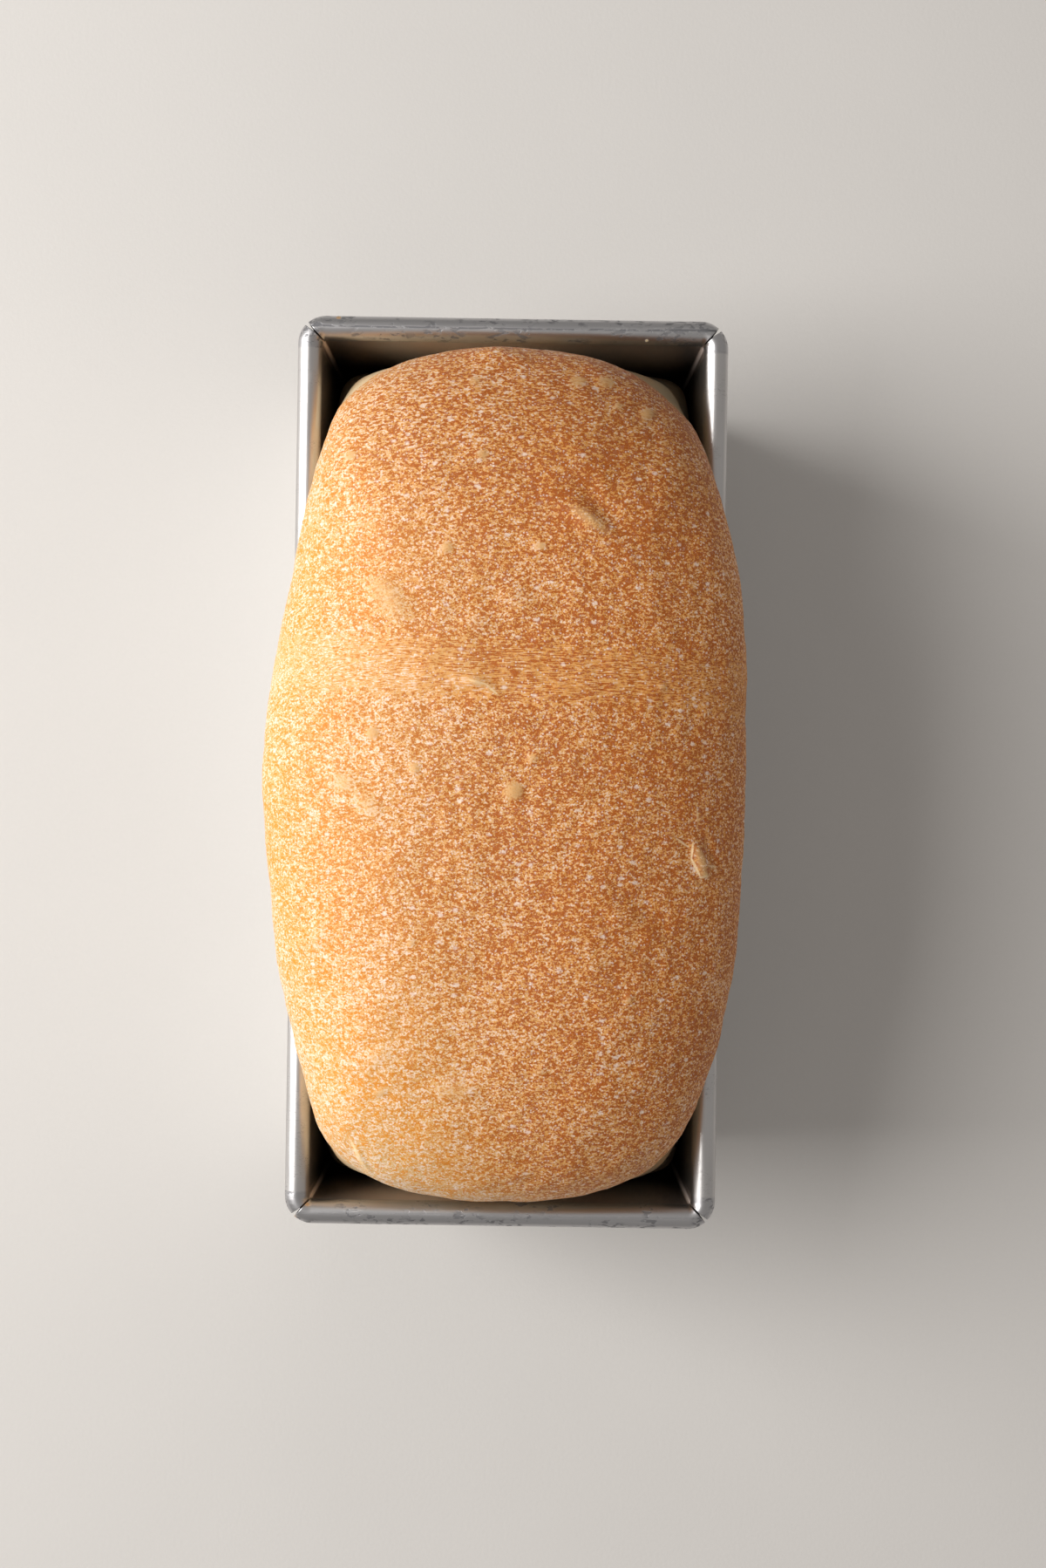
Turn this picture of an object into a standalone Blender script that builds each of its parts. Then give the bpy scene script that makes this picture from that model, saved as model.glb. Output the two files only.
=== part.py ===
"""A domed loaf of sandwich bread in the straight-sided tin that it was baked in.

Everything is in metres. X runs across the tin, Y along it and Z up. The origin is on the ground under
the middle of the tin.
"""

import math

import bmesh
import bpy
from mathutils import Matrix, Vector

# The tin: a 9 x 4 x 4 inch loaf tin, folded from sheet, with its rim rolled outwards.
MOUTH_WIDTH = 0.1016  # inside, at the rim
MOUTH_LENGTH = 0.2278
TIN_HEIGHT = 0.1016
SHEET = 0.0010
WALL_LEAN = 0.0020  # how much further in each wall stands at the base than at the rim
CORNER_RADIUS = 0.0022  # outside, where two walls meet
FOOT_RADIUS = 0.0016  # outside, where the walls meet the base
BEAD_RADIUS = 0.0032  # of the rolled rim's round section
BEAD_PROUD = 0.0002  # how far the roll stands into the mouth
WALL_TOP = TIN_HEIGHT - 0.0026  # the sheet ends inside the roll
SLIT_WIDTH = 0.0007  # of the mitre between two rolls
SLIT_INNER_DEPTH = 0.0022
SLIT_OUTER_DEPTH = 0.0085
SLIT_REACH = 0.0140

# The loaf's dome, seen from above at its widest line.
DOME_HALF_WIDTH = 0.0615
DOME_HALF_LENGTH = 0.1100
DOME_TAPER = 0.310  # share of the width lost from the middle to the ends
DOME_SQUARENESS = 16  # power that closes the ends
DOME_SHIFT = (0.0005, -0.0007)  # of the dome's middle from the tin's
SWAY = 0.0010  # the loaf's middle line wanders this far to each side
SWAY_PEAK = 0.47  # of the half length, where it stands furthest out
UNEVEN_SIDES = (  # side, place along it as a share, span, and how far the side is drawn in
    (-1, -0.48, 0.17, -0.0017),
    (-1, 0.78, 0.14, 0.0015),
    (-1, 0.94, 0.06, 0.0024),
    (1, 0.93, 0.08, 0.0036),
)
CREST_HEIGHT = TIN_HEIGHT + 0.0480
CROSS_POWER = 2.2  # roundness of the dome's cross section
LENGTH_POWER = 3.0  # and of its long section, which is flatter
SWELL = 0.0007  # height of the slow unevenness of the crust

# The widest line stands high where the crust hangs over the rim and low in the corners.
WIDEST_AT_WALL = 0.0060  # above the rim, where the dome is level with the wall
WIDEST_SCALE = 0.0112  # overhang that raises it by a factor of e

# The part of the loaf inside the tin.
WALL_GAP = 0.0006
REST_GAP = 0.0003
LIP_GAP = 0.0004
LIP_POWER = 2.6  # fullness of the bulge that hangs over the rim
SHOULDER_DEPTH = 0.0450  # how far below the rim the loaf meets the wall in a wide gap
SHOULDER_SCALE = 0.0050
LEDGE = 0.35  # share of a corner's gap that the loaf spreads over just below its widest line
LEDGE_POWER = 5
SHOULDER_POWER = 3.5  # steepness of the shoulder below the ledge
END_BLOCK = 0.0530  # length of each end whose corners are rounded
END_POWER = 14  # squareness of those corners
LOAF_FOOT_RADIUS = 0.0060

# How finely the loaf is cut.
CROSS_CUTS = 18
LENGTH_CUTS = 28
DOME_ROWS = 5
LIP_ROWS = 8
WALL_ROWS = 3
FOOT_ROWS = 3

# How finely the tin's rolls and bends are cut.
BEAD_RESOLUTION = 8
BEND_CUTS = 7
CORNER_SEGMENTS = 4
FOOT_SEGMENTS = 3


def material(name, colour, roughness, metallic):
    made = bpy.data.materials.new(name)
    made.use_nodes = True
    shader = made.node_tree.nodes["Principled BSDF"]
    shader.inputs["Base Color"].default_value = (*colour, 1.0)
    shader.inputs["Roughness"].default_value = roughness
    shader.inputs["Metallic"].default_value = metallic
    return made


def add_object(name, mesh, made_of=None):
    item = bpy.data.objects.new(name, mesh)
    bpy.context.scene.collection.objects.link(item)
    if made_of:
        mesh.materials.append(made_of)
        mesh.shade_smooth()
    return item


def mesh_from(bm, name):
    mesh = bpy.data.meshes.new(name)
    bm.to_mesh(mesh)
    bm.free()
    return mesh


def wall_lean(z):
    return WALL_LEAN * (1 - z / TIN_HEIGHT)


# ---- the tin ----


def tin_shell():
    """An open box with leaning walls, given the thickness of its sheet by a modifier."""
    bm = bmesh.new()
    size = Matrix.Diagonal((MOUTH_WIDTH + 2 * SHEET, MOUTH_LENGTH + 2 * SHEET, WALL_TOP, 1))
    bmesh.ops.create_cube(bm, size=1.0, matrix=size @ Matrix.Translation((0, 0, 0.5)))
    for vertex in bm.verts:
        lean = wall_lean(vertex.co.z)
        vertex.co.x -= math.copysign(lean, vertex.co.x)
        vertex.co.y -= math.copysign(lean, vertex.co.y)
    uprights = [edge for edge in bm.edges if abs(edge.verts[0].co.z - edge.verts[1].co.z) > WALL_TOP / 2]
    round_off(bm, uprights, CORNER_RADIUS, CORNER_SEGMENTS)
    foot = [edge for edge in bm.edges if max(vertex.co.z for vertex in edge.verts) < FOOT_RADIUS / 2]
    round_off(bm, foot, FOOT_RADIUS, FOOT_SEGMENTS)
    lid = [face for face in bm.faces if min(vertex.co.z for vertex in face.verts) > WALL_TOP / 2]
    bmesh.ops.delete(bm, geom=lid, context="FACES")
    return mesh_from(bm, "tin")


def round_off(bm, edges, radius, segments):
    bmesh.ops.bevel(
        bm,
        geom=edges,
        offset=radius,
        offset_type="OFFSET",
        segments=segments,
        profile=0.5,
        affect="EDGES",
        material=-1,
    )


def bend_points(middle_x, middle_y, radius):
    """The quarter turn round one corner, going anticlockwise."""
    start = math.atan2(math.copysign(1, middle_y), math.copysign(1, middle_x)) - math.pi / 4
    for step in range(BEND_CUTS + 1):
        angle = start + step * math.pi / 2 / BEND_CUTS
        yield middle_x + radius * math.cos(angle), middle_y + radius * math.sin(angle)


def rim_roll():
    """The rolled rim, a round bar that follows the mouth outside the wall."""
    inner_radius = CORNER_RADIUS - SHEET
    bend_radius = inner_radius + BEAD_RADIUS - BEAD_PROUD
    middle_x = MOUTH_WIDTH / 2 - inner_radius
    middle_y = MOUTH_LENGTH / 2 - inner_radius
    path = []
    for side_x, side_y in ((1, 1), (-1, 1), (-1, -1), (1, -1)):
        path += bend_points(side_x * middle_x, side_y * middle_y, bend_radius)
    curve = bpy.data.curves.new("rim_roll", "CURVE")
    curve.dimensions = "3D"
    curve.bevel_depth = BEAD_RADIUS
    curve.bevel_resolution = BEAD_RESOLUTION
    spline = curve.splines.new("POLY")
    spline.points.add(len(path) - 1)
    for point, (x, y) in zip(spline.points, path):
        point.co = (x, y, TIN_HEIGHT - BEAD_RADIUS, 1)
    spline.use_cyclic_u = True
    guide = add_object("rim_roll_path", curve)
    mesh = bpy.data.meshes.new_from_object(guide)
    bpy.data.objects.remove(guide)
    return mesh


def mitre_slits():
    """Four wedges, one across each corner of the rim, deeper on the outside than on the inside."""
    bm = bmesh.new()
    start_x = MOUTH_WIDTH / 2 - CORNER_RADIUS
    start_y = MOUTH_LENGTH / 2 - CORNER_RADIUS
    for side_x in (-1, 1):
        for side_y in (-1, 1):
            heading = math.atan2(side_y, side_x)
            size = Matrix.Diagonal((SLIT_REACH, SLIT_WIDTH, 2 * SLIT_OUTER_DEPTH, 1))
            turn = Matrix.Rotation(heading, 4, "Z")
            place = Matrix.Translation((side_x * start_x, side_y * start_y, TIN_HEIGHT))
            box = bmesh.ops.create_cube(
                bm, size=1.0, matrix=place @ turn @ size @ Matrix.Translation((0.5, 0, 0))
            )
            raise_inner_floor(box["verts"], Vector((side_x * start_x, side_y * start_y, 0)))
    return mesh_from(bm, "mitre_slits")


def raise_inner_floor(corners, start):
    for vertex in corners:
        is_floor = vertex.co.z < TIN_HEIGHT
        is_inner = (vertex.co.xy - start.xy).length < SLIT_REACH / 2
        if is_floor and is_inner:
            vertex.co.z = TIN_HEIGHT - SLIT_INNER_DEPTH


def hide_guide(item):
    item.hide_render = True
    item.display_type = "WIRE"


def join_by(item, operation, other, name):
    step = item.modifiers.new(name, "BOOLEAN")
    step.operation = operation
    step.object = other
    step.solver = "EXACT"


def build_tin():
    steel = material("tinned_steel", (0.62, 0.61, 0.60), 0.32, 1.0)
    tin = add_object("loaf_tin", tin_shell(), steel)
    sheet = tin.modifiers.new("sheet", "SOLIDIFY")
    sheet.thickness = SHEET
    sheet.offset = -1
    sheet.use_even_offset = True
    sheet.use_rim = True
    roll = add_object("rim_roll", rim_roll())
    slits = add_object("mitre_slits", mitre_slits())
    hide_guide(roll)
    hide_guide(slits)
    join_by(tin, "UNION", roll, "rolled rim")
    join_by(tin, "DIFFERENCE", slits, "mitres")
    return tin


# ---- the loaf ----


def dome_outline(angle):
    """The dome's widest line seen from above: the point in the direction of angle."""
    along = math.sin(angle)
    reach = (1 - DOME_TAPER * along**2) * math.sqrt(max(0.0, 1 - along**DOME_SQUARENESS))
    side = math.copysign(1, math.cos(angle))
    width = DOME_HALF_WIDTH
    for uneven_side, place, span, depth in UNEVEN_SIDES:
        if uneven_side == side:
            width -= depth * math.exp(-(((along - place) / span) ** 2))
    x = side * width * reach + SWAY * math.cos(math.tau * (along - SWAY_PEAK))
    return Vector((x + DOME_SHIFT[0], DOME_HALF_LENGTH * along + DOME_SHIFT[1]))


def body_outline(dome, z, inset=0.0):
    """Where the loaf meets the wall at height z, outwards of a point of the dome's outline.

    Along the sides it is straight across, and in the end blocks it is away from the block's middle,
    which rounds the corners. It also returns the gap from the dome to the wall, negative where the
    dome hangs over it.
    """
    half_width = MOUTH_WIDTH / 2 - wall_lean(z) - WALL_GAP - inset
    half_length = MOUTH_LENGTH / 2 - wall_lean(z) - WALL_GAP - inset
    straight = half_length - END_BLOCK
    past = max(0.0, abs(dome.y) - straight)
    across = abs(dome.x) / half_width
    onward = past / END_BLOCK
    stretch = (across**END_POWER + onward**END_POWER) ** (-1 / END_POWER)
    y = min(abs(dome.y), straight) + past * stretch
    gap = (stretch - 1) * math.hypot(dome.x, past)
    return Vector((dome.x * stretch, math.copysign(y, dome.y))), gap


def widest_height(gap):
    return TIN_HEIGHT + WIDEST_AT_WALL * math.exp(-gap / WIDEST_SCALE)


def meeting_height(gap):
    """The height at which the loaf leaves the wall."""
    drop = SHOULDER_DEPTH * (1 - math.exp(-max(gap, 0.0) / SHOULDER_SCALE))
    return TIN_HEIGHT + LIP_GAP - drop


def swell(x, y):
    """Slow unevenness of the crust, from -1 to 1."""
    waves = (
        (61, 24, 0.4),
        (-38, 52, 1.9),
        (93, -31, 4.2),
        (17, 88, 2.7),
    )
    return sum(math.sin(x * a + y * b + shift) for a, b, shift in waves) / len(waves)


def rounded(turn, power):
    """A quarter of a superellipse: across and up, for turn from 0 at the top to a right angle."""
    across, up = math.sin(turn), math.cos(turn)
    size = (across**power + up**power) ** (1 / power)
    return across / size, up / size


def dome_point(angle, turn):
    """A point of the dome, turned down from the crest by turn."""
    edge = dome_outline(angle)
    rim_z = widest_height(body_outline(edge, TIN_HEIGHT)[1])
    power = CROSS_POWER + (LENGTH_POWER - CROSS_POWER) * math.sin(angle) ** 2
    across, up = rounded(turn, power)
    place = edge * across
    z = rim_z + (CREST_HEIGHT - rim_z) * up + SWELL * up * swell(place.x, place.y)
    return Vector((place.x, place.y, z))


def smooth_step(low, high, value):
    share = min(1.0, max(0.0, (value - low) / (high - low)))
    return share * share * (3 - 2 * share)


def lip_point(angle, share):
    """A point between the widest line, at share 0, and the wall, at share 1.

    Where the crust hangs over the rim it is the underside of a full bulge, and in the corners it is
    a narrow ledge with a steep shoulder below.
    """
    edge = dome_outline(angle)
    gap = body_outline(edge, TIN_HEIGHT)[1]
    top, foot = widest_height(gap), meeting_height(gap)
    wall = body_outline(edge, foot)[0]
    fall, out = rounded(share * math.pi / 2, LIP_POWER)
    sloping = smooth_step(-0.0015, 0.0015, gap)
    spread = LEDGE * (1 - (1 - share) ** LEDGE_POWER) + (1 - LEDGE) * share**SHOULDER_POWER
    out += sloping * (1 - spread - out)
    fall += sloping * (share - fall)
    place = wall + (edge - wall) * out
    return Vector((place.x, place.y, top + (foot - top) * fall))


def wall_point(angle, share):
    """A point against the wall, from where the loaf meets it down to the rounded foot."""
    edge = dome_outline(angle)
    top = meeting_height(body_outline(edge, TIN_HEIGHT)[1])
    foot = SHEET + REST_GAP + LOAF_FOOT_RADIUS
    z = top + (foot - top) * share
    place = body_outline(edge, z)[0]
    return Vector((place.x, place.y, z))


def foot_point(angle, share):
    """A point of the loaf's rounded lower edge."""
    turn = share * math.pi / 2
    z = SHEET + REST_GAP + LOAF_FOOT_RADIUS * (1 - math.sin(turn))
    inset = LOAF_FOOT_RADIUS * (1 - math.cos(turn))
    place = body_outline(dome_outline(angle), z, inset)[0]
    return Vector((place.x, place.y, z))


def grid_direction(vertex):
    """The angle round the loaf and the turn down from its crest of a vertex of the square cap."""
    across = math.tan(vertex.co.x * math.pi / 4)
    along = math.tan(vertex.co.y * math.pi / 4)
    return math.atan2(along, across), math.atan(math.hypot(across, along))


def lower_rows():
    """Each row of the loaf below its cap, as a function of a border vertex's angle and turn."""
    for row in range(1, DOME_ROWS + 1):
        share = row / DOME_ROWS
        yield lambda angle, turn, s=share: dome_point(angle, turn + (math.pi / 2 - turn) * s)
    for row in range(1, LIP_ROWS + 1):
        yield lambda angle, turn, s=row / LIP_ROWS: lip_point(angle, s)
    for row in range(1, WALL_ROWS + 1):
        yield lambda angle, turn, s=row / WALL_ROWS: wall_point(angle, s)
    for row in range(1, FOOT_ROWS + 1):
        yield lambda angle, turn, s=row / FOOT_ROWS: foot_point(angle, s)


def loaf_mesh():
    """A square cap over the crest, whose border is extruded down to the foot row by row."""
    bm = bmesh.new()
    bmesh.ops.create_grid(bm, x_segments=CROSS_CUTS, y_segments=LENGTH_CUTS, size=1.0)
    angle_of = bm.verts.layers.float.new("angle")
    turn_of = bm.verts.layers.float.new("turn")
    for vertex in bm.verts:
        vertex[angle_of], vertex[turn_of] = grid_direction(vertex)
    border = [edge for edge in bm.edges if edge.is_boundary]
    for vertex in bm.verts:
        vertex.co = dome_point(vertex[angle_of], vertex[turn_of])
    for place in lower_rows():
        grown = bmesh.ops.extrude_edge_only(bm, edges=border)["geom"]
        border = [item for item in grown if isinstance(item, bmesh.types.BMEdge)]
        for vertex in [item for item in grown if isinstance(item, bmesh.types.BMVert)]:
            vertex.co = place(vertex[angle_of], vertex[turn_of])
    bmesh.ops.holes_fill(bm, edges=border, sides=0)
    bmesh.ops.recalc_face_normals(bm, faces=bm.faces)
    return mesh_from(bm, "loaf")


def build_loaf():
    crust = material("golden_crust", (0.55, 0.31, 0.11), 0.62, 0.0)
    return add_object("loaf", loaf_mesh(), crust)


def main():
    for item in list(bpy.data.objects):
        bpy.data.objects.remove(item)
    build_tin()
    build_loaf()


main()
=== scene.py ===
"""A domed loaf of sandwich bread standing in its tin, on a plain studio floor.

Everything is in metres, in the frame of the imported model: X runs across the tin, Y along it and Z up,
and the origin is on the ground under the middle of the tin.
"""

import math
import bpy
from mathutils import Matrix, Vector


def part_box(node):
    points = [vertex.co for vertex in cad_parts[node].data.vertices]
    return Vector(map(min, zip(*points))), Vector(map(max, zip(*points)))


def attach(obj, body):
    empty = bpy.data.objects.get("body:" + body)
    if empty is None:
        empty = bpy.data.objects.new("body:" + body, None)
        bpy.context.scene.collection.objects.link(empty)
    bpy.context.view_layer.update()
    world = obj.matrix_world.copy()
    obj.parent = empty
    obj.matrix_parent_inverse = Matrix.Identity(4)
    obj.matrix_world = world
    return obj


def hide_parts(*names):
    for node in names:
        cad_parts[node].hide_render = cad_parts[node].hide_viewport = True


bl_info = {
    "name": "Tin Loaf",
    "version": (1, 0, 0),
    "blender": (4, 5, 0),
    "location": "View3D > Sidebar > Tin Loaf",
    "description": "Builds a sandwich loaf with its speckled crust, its loaf tin and a plain stage",
    "category": "Object",
}

import bmesh
import bpy
from bpy.props import FloatProperty, FloatVectorProperty, IntProperty, PointerProperty
from bpy.types import Operator, Panel, PropertyGroup
from mathutils import Matrix, Vector, noise

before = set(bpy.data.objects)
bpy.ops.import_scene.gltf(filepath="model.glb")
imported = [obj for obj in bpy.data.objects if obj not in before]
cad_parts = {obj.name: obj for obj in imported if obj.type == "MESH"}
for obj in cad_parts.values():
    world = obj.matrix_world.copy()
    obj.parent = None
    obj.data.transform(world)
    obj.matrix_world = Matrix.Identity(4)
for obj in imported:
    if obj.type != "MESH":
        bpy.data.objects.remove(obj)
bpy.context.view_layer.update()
TIN_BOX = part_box("loaf_tin")

MM = 0.001
QUARTER = math.pi / 2


# ---- what a user may change ----


class TinSettings(PropertyGroup):
    """Sizes and colours of the loaf tin"""

    mouth_width: FloatProperty(
        name="Mouth width",
        description="Inside width of the tin at its rim",
        default=0.1016,
        unit="LENGTH",
    )
    mouth_length: FloatProperty(
        name="Mouth length",
        description="Inside length of the tin at its rim",
        default=0.2278,
        unit="LENGTH",
    )
    height: FloatProperty(
        name="Height",
        description="Height of the rim over the ground",
        default=TIN_BOX[1].z,
        unit="LENGTH",
    )
    lean: FloatProperty(
        name="Lean",
        description="How much further in each wall stands at the base than at the rim",
        default=0.0020,
        unit="LENGTH",
    )
    sheet: FloatProperty(
        name="Sheet",
        description="Thickness of the folded sheet",
        default=0.0010,
        unit="LENGTH",
    )
    bead_radius: FloatProperty(
        name="Roll radius",
        description="Radius of the rolled rim's round section",
        default=0.0032,
        unit="LENGTH",
    )
    metal: FloatVectorProperty(
        name="Metal",
        description="Colour of the bare sheet",
        default=(0.74, 0.72, 0.70),
        subtype="COLOR",
        size=3,
        min=0.0,
        max=1.0,
    )
    scuff: FloatVectorProperty(
        name="Scuffs",
        description="Colour of the worn marks along the rim",
        default=(0.10, 0.10, 0.11),
        subtype="COLOR",
        size=3,
        min=0.0,
        max=1.0,
    )


class LoafSettings(PropertyGroup):
    """Sizes and colours of the loaf"""

    half_width: FloatProperty(
        name="Half width",
        description="Half of the dome's width at its widest line",
        default=0.0615,
        unit="LENGTH",
    )
    half_length: FloatProperty(
        name="Half length",
        description="Half of the dome's length at its widest line",
        default=0.1100,
        unit="LENGTH",
    )
    rise: FloatProperty(
        name="Rise",
        description="How far the crest stands above the tin's rim",
        default=0.0480,
        unit="LENGTH",
    )
    cross_cuts: IntProperty(
        name="Cuts across",
        description="How many faces the crest has across the loaf",
        default=140,
        min=8,
    )
    length_cuts: IntProperty(
        name="Cuts along",
        description="How many faces the crest has along the loaf",
        default=240,
        min=8,
    )
    toasted: FloatVectorProperty(
        name="Toasted",
        description="Colour of the darkest speckles",
        default=(0.43, 0.090, 0.001),
        subtype="COLOR",
        size=3,
        min=0.0,
        max=1.0,
    )
    amber: FloatVectorProperty(
        name="Amber",
        description="Colour of the speckles where the crust is paler",
        default=(0.76, 0.27, 0.008),
        subtype="COLOR",
        size=3,
        min=0.0,
        max=1.0,
    )
    golden: FloatVectorProperty(
        name="Golden",
        description="Colour of the crust between the speckles",
        default=(0.77, 0.355, 0.086),
        subtype="COLOR",
        size=3,
        min=0.0,
        max=1.0,
    )
    blond: FloatVectorProperty(
        name="Blond",
        description="Colour between the speckles where the crust is paler",
        default=(0.72, 0.455, 0.180),
        subtype="COLOR",
        size=3,
        min=0.0,
        max=1.0,
    )
    blister: FloatVectorProperty(
        name="Blister",
        description="Colour of the smooth blisters",
        default=(0.72, 0.44, 0.200),
        subtype="COLOR",
        size=3,
        min=0.0,
        max=1.0,
    )
    # also the colour of the painted highlight on the ridge's lit back
    torn: FloatVectorProperty(
        name="Torn",
        description="Colour of the pale inside of torn skin",
        default=(0.95, 0.66, 0.31),
        subtype="COLOR",
        size=3,
        min=0.0,
        max=1.0,
    )
    # pale torn edges, partly a painted highlight where they face the window light
    torn_edge_and_highlight: FloatVectorProperty(
        name="Torn edge",
        description="Colour of the thin bright edges of torn skin",
        default=(1.0, 0.75, 0.45),
        subtype="COLOR",
        size=3,
        min=0.0,
        max=1.0,
    )
    floury: FloatVectorProperty(
        name="Floury",
        description="Colour of the fine pale flecks",
        default=(0.94, 0.77, 0.66),
        subtype="COLOR",
        size=3,
        min=0.0,
        max=1.0,
    )
    shoulder: FloatVectorProperty(
        name="Shoulder",
        description="Colour of the soft pale skin below the golden edge",
        default=(0.68, 0.52, 0.32),
        subtype="COLOR",
        size=3,
        min=0.0,
        max=1.0,
    )


class StageSettings(PropertyGroup):
    """Camera, lights and floor"""

    camera_height: FloatProperty(
        name="Camera height",
        description="Height of the camera over the ground",
        default=0.675,
        unit="LENGTH",
    )
    lens: FloatProperty(
        name="Lens",
        description="Focal length of the camera in millimetres",
        default=50.0,
    )
    key_power: FloatProperty(
        name="Window light",
        description="Power of the large soft light on the left",
        default=25.0,
    )
    fill_strength: FloatProperty(
        name="Room light",
        description="Strength of the even light from all around",
        default=0.36,
    )
    floor: FloatVectorProperty(
        name="Floor",
        description="Colour of the plain floor",
        default=(0.62, 0.60, 0.58),
        subtype="COLOR",
        size=3,
        min=0.0,
        max=1.0,
    )


# ---- shader sums ----


class Value:
    """One output of a finish's nodes, on which sums add Math nodes."""

    def __init__(self, finish, socket):
        self.finish = finish
        self.socket = socket

    def maths(self, operation, first, second=0.0):
        return self.finish.node("ShaderNodeMath", {"operation": operation}, {0: first, 1: second})

    def __add__(self, other):
        return self.maths("ADD", self, other)

    def __radd__(self, other):
        return self.maths("ADD", other, self)

    def __sub__(self, other):
        return self.maths("SUBTRACT", self, other)

    def __rsub__(self, other):
        return self.maths("SUBTRACT", other, self)

    def __mul__(self, other):
        return self.maths("MULTIPLY", self, other)

    def __rmul__(self, other):
        return self.maths("MULTIPLY", other, self)

    def __abs__(self):
        return self.maths("ABSOLUTE", self)

    def at_most(self, other):
        return self.maths("MINIMUM", self, other)

    def rise(self, low, high):
        """0 below low, 1 above high and smooth between them."""
        return self.finish.node(
            "ShaderNodeMapRange",
            {"interpolation_type": "SMOOTHSTEP"},
            {"Value": self, "From Min": low, "From Max": high},
        )


class Finish:
    """A material and the nodes that make it."""

    def __init__(self, name):
        self.material = bpy.data.materials.new(name)
        self.material.use_nodes = True
        self.tree = self.material.node_tree
        self.shader = self.tree.nodes["Principled BSDF"]
        self.place = self.node("ShaderNodeTexCoord", {}, {}, "Object")

    def node(self, kind, settings, sockets, output=0):
        """Adds a node with its settings and its sockets' values or links. Gives one of its outputs."""
        made = self.tree.nodes.new(kind)
        for name, setting in settings.items():
            setattr(made, name, setting)
        for name, value in sockets.items():
            self.feed(made.inputs[name], value)
        return Value(self, made.outputs[output])

    def feed(self, socket, value):
        if isinstance(value, Value):
            self.tree.links.new(value.socket, socket)
        else:
            socket.default_value = value

    def set(self, **sockets):
        for name, value in sockets.items():
            self.feed(self.shader.inputs[name.replace("_", " ")], value)

    def stretched(self, x, y, z):
        """The place on the piece, with a pattern's scale along each axis."""
        sockets = {0: self.place, 1: (x, y, z)}
        return self.node("ShaderNodeVectorMath", {"operation": "MULTIPLY"}, sockets)

    def noise(self, scale, detail=2.0, roughness=0.5, distortion=0.0, at=None):
        return self.node(
            "ShaderNodeTexNoise",
            {},
            {
                "Vector": at or self.place,
                "Scale": scale,
                "Detail": detail,
                "Roughness": roughness,
                "Distortion": distortion,
            },
        )

    def cells(self, scale, at=None):
        """The distance to the nearest of many scattered points, and a chance for its whole cell."""
        settings = {"feature": "F1"}
        sockets = {"Vector": at or self.place, "Scale": scale}
        distance = self.node("ShaderNodeTexVoronoi", settings, sockets)
        colour = Value(self, distance.socket.node.outputs["Color"])
        chance = self.node("ShaderNodeSeparateColor", {}, {0: colour})
        return distance, chance

    def blend(self, first, second, share):
        """A colour from first, at share 0, to second, at share 1."""
        settings = {"data_type": "RGBA", "clamp_factor": True}
        sockets = {0: share, 6: rgba(first), 7: rgba(second)}
        return self.node("ShaderNodeMix", settings, sockets, 2)

    def times(self, colour, value):
        """A colour made lighter or darker by a value."""
        grey = self.node("ShaderNodeCombineColor", {}, {0: value, 1: value, 2: value})
        settings = {"data_type": "RGBA", "blend_type": "MULTIPLY"}
        return self.node("ShaderNodeMix", settings, {0: 1.0, 6: rgba(colour), 7: grey}, 2)

    def attribute(self, name):
        return self.node("ShaderNodeAttribute", {"attribute_name": name}, {}, "Fac")

    def axes(self):
        split = self.node("ShaderNodeSeparateXYZ", {}, {0: self.place})
        return [Value(self, split.socket.node.outputs[axis]) for axis in "XYZ"]

    def bump(self, height, distance, strength=1.0, under=None):
        """A bumped normal, over the bumps of another one if that is given."""
        sockets = {"Height": height, "Distance": distance, "Strength": strength}
        if under:
            sockets["Normal"] = under
        return self.node("ShaderNodeBump", {}, sockets)


def rgba(colour):
    """A plain colour with its alpha, or a linked one as it is."""
    return colour if isinstance(colour, Value) else (*colour, 1.0)


# ---- shared shaping ----


def smooth_step(low, high, value):
    """0 at low, 1 at high and smooth between them."""
    share = min(1.0, max(0.0, (value - low) / (high - low)))
    return share * share * (3 - 2 * share)


def hill(value, reach):
    """1 at 0, falling smoothly to nothing a little past reach on either side."""
    return math.exp(-((value / reach) ** 2))


def grow_row(bm, border, place):
    """Extrudes the border once, and puts each new vertex where place says. Returns the new border."""
    grown = bmesh.ops.extrude_edge_only(bm, edges=border)["geom"]
    for vertex in [item for item in grown if isinstance(item, bmesh.types.BMVert)]:
        place(vertex)
    return [item for item in grown if isinstance(item, bmesh.types.BMEdge)]


def add_piece(bm, name, node, finish):
    """Makes the finished mesh a piece that stands for a node of the frame."""
    mesh = bpy.data.meshes.new(name)
    bm.to_mesh(mesh)
    bm.free()
    mesh.shade_smooth()
    mesh.materials.append(finish)
    piece = bpy.data.objects.new(name, mesh)
    bpy.context.scene.collection.objects.link(piece)
    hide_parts(node)
    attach(piece, "root")


# ---- the loaf ----

DOME_TAPER = 0.310  # share of the width lost from the middle to the ends
DOME_SQUARENESS = 16  # power that closes the ends
DOME_SHIFT = Vector((0.0005, -0.0007))  # of the dome's middle from the tin's
SWAY = 0.0010  # the loaf's middle line wanders this far to each side
SWAY_PEAK = 0.47  # of the half length, where it stands furthest out
UNEVEN_SIDES = (  # side, place along it as a share, span, and how far the side is drawn in
    (-1, -0.48, 0.17, -0.0017),
    (-1, 0.78, 0.14, 0.0015),
    (-1, 0.94, 0.06, 0.0024),
    (1, 0.93, 0.08, 0.0036),
)
CROSS_POWER = 2.2  # roundness of the dome's cross section
LENGTH_POWER = 3.0  # and of its long section, which is flatter
SWELL = 0.0007  # height of the slow unevenness of the crust
SWELL_WAVES = (  # radians per metre along x and y, and where each wave starts
    (61, 24, 0.4),
    (-38, 52, 1.9),
    (93, -31, 4.2),
    (17, 88, 2.7),
)
WIDEST_AT_WALL = 0.0060  # above the rim, where the dome is level with the wall
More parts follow.
